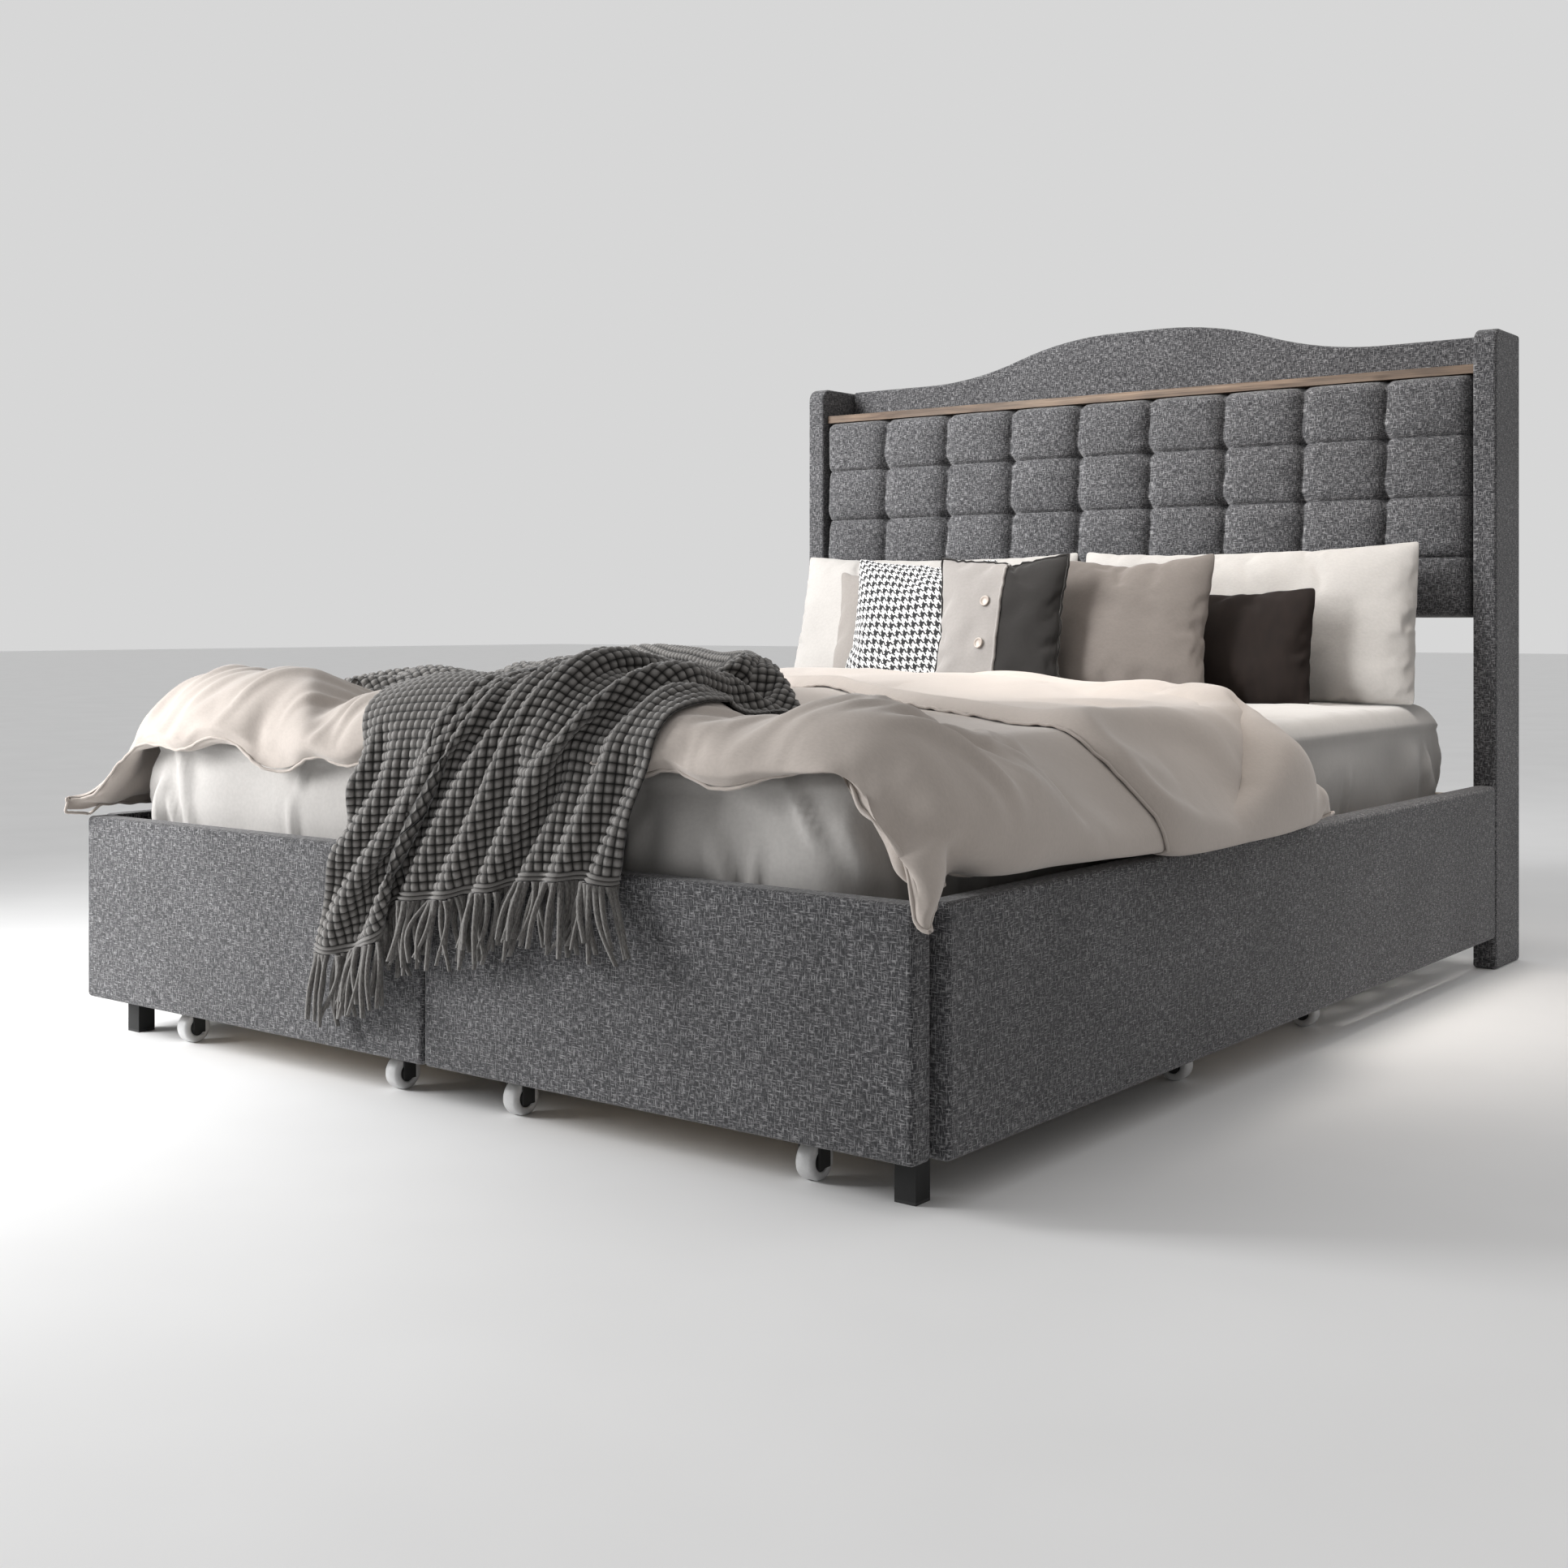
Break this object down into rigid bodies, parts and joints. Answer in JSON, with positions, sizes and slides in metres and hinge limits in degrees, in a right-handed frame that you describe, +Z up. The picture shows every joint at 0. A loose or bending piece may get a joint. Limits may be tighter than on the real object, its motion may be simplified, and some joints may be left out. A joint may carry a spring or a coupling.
{
  "type": "platform bed with storage drawers",
  "caption": "Upholstered platform bed with a tufted wingback headboard, a wooden headboard shelf, drawers on casters in the base, and bedding.",
  "frame": {"origin": "on the floor, under the middle of the whole bed", "axes": "+Z up, +Y towards the headboard, +X to the right side seen from the foot"},
  "size_m": [1.7252, 2.2284, 1.377],
  "materials": {
    "upholstery": "heathered charcoal linen-look weave",
    "board": "raw engineered board",
    "shelf_wood": "weathered grey-brown grain",
    "frame_steel": "black powder coat",
    "bolt_steel": "zinc plated",
    "slat_wood": "pine",
    "webbing": "woven tape",
    "black_plastic": "moulded",
    "mattress_sheet": "fitted cotton sheet",
    "duvet_cotton": "soft cotton",
    "throw_knit": "waffle knit",
    "white_cotton": "soft cotton",
    "beige_cotton": "soft cotton",
    "houndstooth": "black and white check weave",
    "button_cushion": "two-tone cotton with piping",
    "taupe_cotton": "soft cotton",
    "brown_velvet": "soft velvet",
    "drawer_board": "melamine-faced board",
    "drawer_base": "thin board",
    "caster_steel": "black",
    "caster_wheel": "light grey tread"
  },
  "bodies": {
    "bed_frame": {"headboard_wing_left": "upholstery", "headboard_wing_right": "upholstery", "headboard_back_panel": "upholstery", "headboard_tufted_panel": "upholstery", "headboard_backing_board": "board", "headboard_bottom_board": "board", "headboard_lower_stretcher": "board", "headboard_shelf": "shelf_wood", "side_rail_left": "frame_steel", "side_rail_right": "frame_steel", "foot_cross_rail": "frame_steel", "head_cross_rail": "frame_steel", "center_beam": "frame_steel", "front_leg_left": "frame_steel", "front_leg_right": "frame_steel", "center_legs": "frame_steel", "corner_brackets": "frame_steel", "frame_bolts": "bolt_steel", "slats": "slat_wood", "slat_straps": "webbing", "leg_glides": "black_plastic", "mattress": "mattress_sheet", "duvet": "duvet_cotton", "throw_top": "throw_knit", "pillow_white_left": "white_cotton", "pillow_white_right": "white_cotton", "pillow_beige": "beige_cotton", "pillow_houndstooth": "houndstooth", "pillow_button": "button_cushion", "pillow_taupe": "taupe_cotton", "pillow_brown": "brown_velvet"},
    "foot_left_drawer": {"foot_left_drawer_front": "upholstery", "foot_left_drawer_walls": "drawer_board", "foot_left_drawer_bottom": "drawer_base", "foot_left_caster_brackets": "caster_steel", "throw_drop_left": "throw_knit"},
    "foot_left_front_axle": {"foot_left_front_wheels": "caster_wheel"},
    "foot_left_rear_axle": {"foot_left_rear_wheels": "caster_wheel"},
    "foot_right_drawer": {"foot_right_drawer_front": "upholstery", "foot_right_drawer_walls": "drawer_board", "foot_right_drawer_bottom": "drawer_base", "foot_right_caster_brackets": "caster_steel", "throw_drop_right": "throw_knit"},
    "foot_right_front_axle": {"foot_right_front_wheels": "caster_wheel"},
    "foot_right_rear_axle": {"foot_right_rear_wheels": "caster_wheel"},
    "side_left_drawer": {"side_left_drawer_front": "upholstery", "side_left_drawer_walls": "drawer_board", "side_left_drawer_bottom": "drawer_base", "side_left_caster_brackets": "caster_steel"},
    "side_left_front_axle": {"side_left_front_wheels": "caster_wheel"},
    "side_left_rear_axle": {"side_left_rear_wheels": "caster_wheel"},
    "side_right_drawer": {"side_right_drawer_front": "upholstery", "side_right_drawer_walls": "drawer_board", "side_right_drawer_bottom": "drawer_base", "side_right_caster_brackets": "caster_steel"},
    "side_right_front_axle": {"side_right_front_wheels": "caster_wheel"},
    "side_right_rear_axle": {"side_right_rear_wheels": "caster_wheel"}
  },
  "joints": [
    {"name": "foot_left_drawer_slide", "type": "slide", "parent": "bed_frame", "child": "foot_left_drawer", "axis": [0, -1, 0], "range_m": [0, 0.5]},
    {"name": "foot_left_front_wheels_roll", "type": "hinge", "parent": "foot_left_drawer", "child": "foot_left_front_axle", "pos_m": [-0.385, -1.02925, 0.025], "axis": [1, 0, 0], "continuous": true},
    {"name": "foot_left_rear_wheels_roll", "type": "hinge", "parent": "foot_left_drawer", "child": "foot_left_rear_axle", "pos_m": [-0.385, -0.49725, 0.025], "axis": [1, 0, 0], "continuous": true},
    {"name": "foot_right_drawer_slide", "type": "slide", "parent": "bed_frame", "child": "foot_right_drawer", "axis": [0, -1, 0], "range_m": [0, 0.5]},
    {"name": "foot_right_front_wheels_roll", "type": "hinge", "parent": "foot_right_drawer", "child": "foot_right_front_axle", "pos_m": [0.385, -1.02925, 0.025], "axis": [1, 0, 0], "continuous": true},
    {"name": "foot_right_rear_wheels_roll", "type": "hinge", "parent": "foot_right_drawer", "child": "foot_right_rear_axle", "pos_m": [0.385, -0.49725, 0.025], "axis": [1, 0, 0], "continuous": true},
    {"name": "side_left_drawer_slide", "type": "slide", "parent": "bed_frame", "child": "side_left_drawer", "axis": [-1, 0, 0], "range_m": [0, 0.5]},
    {"name": "side_left_front_wheels_roll", "type": "hinge", "parent": "side_left_drawer", "child": "side_left_front_axle", "pos_m": [-0.7676, -0.02775, 0.025], "axis": [0, -1, 0], "continuous": true},
    {"name": "side_left_rear_wheels_roll", "type": "hinge", "parent": "side_left_drawer", "child": "side_left_rear_axle", "pos_m": [-0.2576, -0.02775, 0.025], "axis": [0, -1, 0], "continuous": true},
    {"name": "side_right_drawer_slide", "type": "slide", "parent": "bed_frame", "child": "side_right_drawer", "axis": [1, 0, 0], "range_m": [0, 0.5]},
    {"name": "side_right_front_wheels_roll", "type": "hinge", "parent": "side_right_drawer", "child": "side_right_front_axle", "pos_m": [0.7676, -0.02775, 0.025], "axis": [0, 1, 0], "continuous": true},
    {"name": "side_right_rear_wheels_roll", "type": "hinge", "parent": "side_right_drawer", "child": "side_right_rear_axle", "pos_m": [0.2576, -0.02775, 0.025], "axis": [0, 1, 0], "continuous": true}
  ],
  "couplings": [
    {"joint": "foot_left_front_wheels_roll", "follows": "foot_left_drawer_slide", "rad_per_m": 40},
    {"joint": "foot_left_rear_wheels_roll", "follows": "foot_left_drawer_slide", "rad_per_m": 40},
    {"joint": "foot_right_front_wheels_roll", "follows": "foot_right_drawer_slide", "rad_per_m": 40},
    {"joint": "foot_right_rear_wheels_roll", "follows": "foot_right_drawer_slide", "rad_per_m": 40},
    {"joint": "side_left_front_wheels_roll", "follows": "side_left_drawer_slide", "rad_per_m": 40},
    {"joint": "side_left_rear_wheels_roll", "follows": "side_left_drawer_slide", "rad_per_m": 40},
    {"joint": "side_right_front_wheels_roll", "follows": "side_right_drawer_slide", "rad_per_m": 40},
    {"joint": "side_right_rear_wheels_roll", "follows": "side_right_drawer_slide", "rad_per_m": 40}
  ]
}
